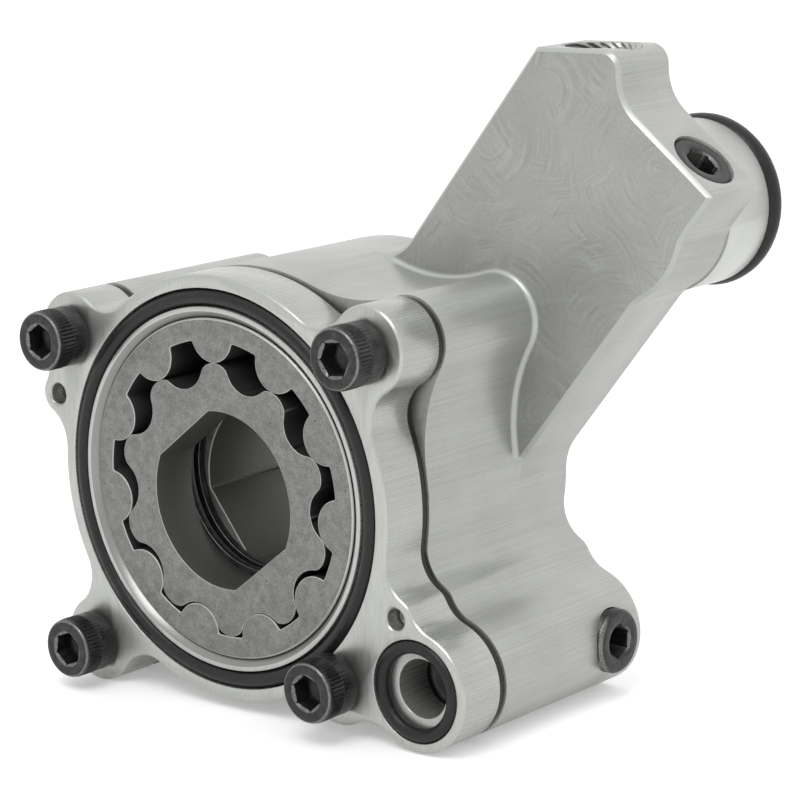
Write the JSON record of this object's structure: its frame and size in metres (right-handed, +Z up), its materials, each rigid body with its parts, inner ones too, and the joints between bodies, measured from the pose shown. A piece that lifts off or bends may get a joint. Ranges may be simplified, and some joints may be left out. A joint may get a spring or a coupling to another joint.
{
  "type": "engine oil pump",
  "caption": "Two-stage gerotor engine oil pump: round housing with screw ears and an oil port, a slanted side arm and a sealed outlet spigot at its back.",
  "frame": {"origin": "centre of the feed rotor pocket on the front mounting face", "axes": "+Y from the front mounting face into the pump along the rotor axis, +Z up, +X to the side that the arm leans to"},
  "size_m": [0.1071, 0.0666, 0.1008],
  "materials": {
    "housing_aluminium": "machined billet, satin with end mill marks",
    "sintered_steel": "matte sintered steel, slightly pitted",
    "plate_steel": "ground steel",
    "black_steel": "black oxide",
    "rubber": "black oil-resistant rubber"
  },
  "bodies": {
    "housing": {"front_housing": "housing_aluminium", "housing_seal": "rubber", "pump_body": "housing_aluminium", "front_separator_plate": "black_steel", "rear_separator_plate": "black_steel", "separator_seal": "rubber", "wave_washer": "plate_steel", "upper_left_cap_screw": "black_steel", "upper_right_cap_screw": "black_steel", "lower_left_cap_screw": "black_steel", "lower_right_cap_screw": "black_steel", "left_dowel": "plate_steel", "right_dowel": "plate_steel", "face_o_ring": "rubber", "port_o_ring": "rubber", "spigot_o_ring": "rubber", "end_plug": "black_steel", "top_plug": "black_steel", "base_plug": "black_steel"},
    "feed_outer": {"feed_outer_rotor": "sintered_steel"},
    "feed_inner": {"feed_inner_rotor": "sintered_steel"},
    "scavenge_outer": {"scavenge_outer_rotor": "sintered_steel"},
    "scavenge_inner": {"scavenge_inner_rotor": "sintered_steel"}
  },
  "joints": [
    {"name": "feed_inner_spin", "type": "hinge", "parent": "housing", "child": "feed_inner", "pos_m": [0.00012, 0.0045, -0.00174], "axis": [0, 1, 0], "continuous": true},
    {"name": "feed_outer_spin", "type": "hinge", "parent": "housing", "child": "feed_outer", "pos_m": [0, 0.0045, 0], "axis": [0, 1, 0], "continuous": true},
    {"name": "scavenge_inner_spin", "type": "hinge", "parent": "housing", "child": "scavenge_inner", "pos_m": [0.00012, 0.0185, -0.00174], "axis": [0, 1, 0], "continuous": true},
    {"name": "scavenge_outer_spin", "type": "hinge", "parent": "housing", "child": "scavenge_outer", "pos_m": [0, 0.0185, 0], "axis": [0, 1, 0], "continuous": true}
  ],
  "couplings": [
    {"joint": "feed_outer_spin", "follows": "feed_inner_spin", "ratio": 0.90909},
    {"joint": "scavenge_outer_spin", "follows": "scavenge_inner_spin", "ratio": 0.90909}
  ]
}
